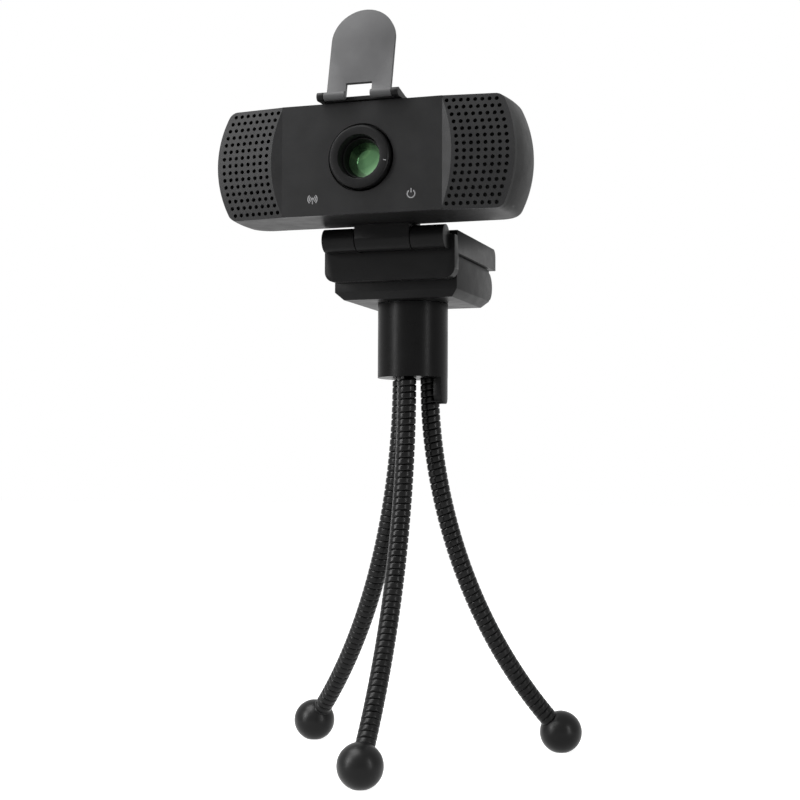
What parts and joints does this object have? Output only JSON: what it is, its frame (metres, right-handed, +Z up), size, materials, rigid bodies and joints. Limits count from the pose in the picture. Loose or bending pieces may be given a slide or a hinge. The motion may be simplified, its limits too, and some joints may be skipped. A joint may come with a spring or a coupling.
{
  "type": "webcam on tripod",
  "caption": "Wide webcam with perforated ends, focus ring and flip-up privacy cover, tilting on a folding screen clamp over a mini tripod with gooseneck legs.",
  "frame": {"origin": "on the floor, under the middle of the model's box", "axes": "+Z up, the lens looks towards -Y, +X to the right of someone who faces the lens"},
  "size_m": [0.1, 0.0956, 0.2274],
  "materials": {
    "shell_plastic": "matt black moulded plastic",
    "panel_plastic": "satin black moulded plastic",
    "grille_plastic": "satin black, perforated",
    "cover_plastic": "satin dark grey",
    "ring_plastic": "satin black",
    "lens_black": "dull black",
    "lens_glass": "green coated glass",
    "light_pipe": "translucent",
    "board_laminate": "solder mask",
    "component_black": "moulded package",
    "microphone_can": "pressed can",
    "steel": "plated",
    "brass_insert": "turned",
    "soft_rubber": "soft, dull",
    "clamp_plastic": "matt black moulded plastic",
    "post_plastic": "satin black",
    "leg_sleeve": "ribbed satin black sleeve",
    "core_wire": "soft iron wire",
    "foot_plastic": "satin black ball"
  },
  "bodies": {
    "tripod": {"tripod_post": "post_plastic", "tripod_stud": "steel", "leg_plug": "post_plastic"},
    "clamp_leg": {"clamp_leg": "clamp_plastic", "clamp_leg_pad": "soft_rubber", "clamp_pin": "steel", "thread_insert": "brass_insert"},
    "clamp_jaw": {"clamp_jaw": "clamp_plastic", "lip_pad": "soft_rubber", "tilt_pin": "steel"},
    "camera": {"front_panel": "panel_plastic", "grille_left": "grille_plastic", "grille_right": "grille_plastic", "front_shell": "shell_plastic", "rear_shell": "shell_plastic", "lens_holder": "lens_black", "infrared_filter": "lens_glass", "image_sensor": "component_black", "main_board": "board_laminate", "board_screws": "steel", "board_connector": "component_black", "case_screws": "steel", "indicator_leds": "component_black", "status_light_pipe": "light_pipe", "power_light_pipe": "light_pipe", "microphone_left": "microphone_can", "microphone_right": "microphone_can", "microphone_boots": "soft_rubber", "cable_gland": "soft_rubber", "cover_base": "shell_plastic", "cover_adhesive_pad": "soft_rubber", "neck": "shell_plastic", "neck_screws": "steel"},
    "focus_ring": {"focus_ring": "ring_plastic", "lens_barrel": "lens_black", "lens_front_element": "lens_glass", "lens_rear_element": "lens_glass"},
    "privacy_cover": {"privacy_cover": "cover_plastic"},
    "leg_left_upper": {"leg_left_upper_sleeve": "leg_sleeve", "leg_left_upper_core": "core_wire"},
    "leg_left_middle": {"leg_left_middle_sleeve": "leg_sleeve", "leg_left_middle_core": "core_wire"},
    "leg_left_lower": {"leg_left_lower_sleeve": "leg_sleeve", "leg_left_lower_core": "core_wire", "foot_left": "foot_plastic"},
    "leg_front_upper": {"leg_front_upper_sleeve": "leg_sleeve", "leg_front_upper_core": "core_wire"},
    "leg_front_middle": {"leg_front_middle_sleeve": "leg_sleeve", "leg_front_middle_core": "core_wire"},
    "leg_front_lower": {"leg_front_lower_sleeve": "leg_sleeve", "leg_front_lower_core": "core_wire", "foot_front": "foot_plastic"},
    "leg_right_upper": {"leg_right_upper_sleeve": "leg_sleeve", "leg_right_upper_core": "core_wire"},
    "leg_right_middle": {"leg_right_middle_sleeve": "leg_sleeve", "leg_right_middle_core": "core_wire"},
    "leg_right_lower": {"leg_right_lower_sleeve": "leg_sleeve", "leg_right_lower_core": "core_wire", "foot_right": "foot_plastic"}
  },
  "joints": [
    {"name": "tripod_swivel", "type": "hinge", "parent": "tripod", "child": "clamp_leg", "pos_m": [0.00257, 0.00617, 0.1449], "axis": [0, 0, 1], "range_deg": [-180, 180]},
    {"name": "clamp_open", "type": "hinge", "parent": "clamp_leg", "child": "clamp_jaw", "pos_m": [0.00257, 0.02477, 0.1522], "axis": [1, 0, 0], "range_deg": [-110, 0]},
    {"name": "camera_tilt", "type": "hinge", "parent": "clamp_jaw", "child": "camera", "pos_m": [0.00257, -0.02153, 0.162], "axis": [1, 0, 0], "range_deg": [-25, 70]},
    {"name": "cover_swing", "type": "hinge", "parent": "camera", "child": "privacy_cover", "pos_m": [0.00257, -0.04633, 0.2006], "axis": [1, 0, 0], "range_deg": [0, 193.5]},
    {"name": "focus_turn", "type": "hinge", "parent": "camera", "child": "focus_ring", "pos_m": [0.00257, -0.04373, 0.1826], "axis": [0, 1, 0], "range_deg": [-150, 150]},
    {"name": "leg_left_spread", "type": "hinge", "parent": "tripod", "child": "leg_left_upper", "pos_m": [-0.00224, 0.00959, 0.1213], "axis": [0.5793, 0.8151, 0], "range_deg": [-3, 25]},
    {"name": "leg_left_sideways", "type": "hinge", "parent": "leg_left_upper", "child": "leg_left_middle", "pos_m": [-0.00701, 0.01298, 0.07888], "axis": [-0.7846, 0.5576, 0.2709], "range_deg": [-24, 24]},
    {"name": "leg_left_curl", "type": "hinge", "parent": "leg_left_middle", "child": "leg_left_lower", "pos_m": [-0.02097, 0.0229, 0.03964], "axis": [0.5793, 0.8151, 0], "range_deg": [-20, 24]},
    {"name": "leg_front_spread", "type": "hinge", "parent": "tripod", "child": "leg_front_upper", "pos_m": [0.00255, 0.00027, 0.1213], "axis": [-1, 0.0035, 0], "range_deg": [-3, 25]},
    {"name": "leg_front_sideways", "type": "hinge", "parent": "leg_front_upper", "child": "leg_front_middle", "pos_m": [0.00254, -0.00447, 0.08019], "axis": [-0.0034, -0.9737, 0.2277], "range_deg": [-24, 24]},
    {"name": "leg_front_curl", "type": "hinge", "parent": "leg_front_middle", "child": "leg_front_lower", "pos_m": [0.00249, -0.01845, 0.04124], "axis": [-1, 0.0035, 0], "range_deg": [-20, 24]},
    {"name": "leg_right_spread", "type": "hinge", "parent": "tripod", "child": "leg_right_upper", "pos_m": [0.00704, 0.01002, 0.1213], "axis": [0.6534, -0.757, 0], "range_deg": [-3, 25]},
    {"name": "leg_right_sideways", "type": "hinge", "parent": "leg_right_upper", "child": "leg_right_middle", "pos_m": [0.0112, 0.01362, 0.07932], "axis": [0.7314, 0.6314, 0.2576], "range_deg": [-24, 24]},
    {"name": "leg_right_curl", "type": "hinge", "parent": "leg_right_middle", "child": "leg_right_lower", "pos_m": [0.02341, 0.02416, 0.04017], "axis": [0.6534, -0.757, 0], "range_deg": [-20, 24]}
  ]
}
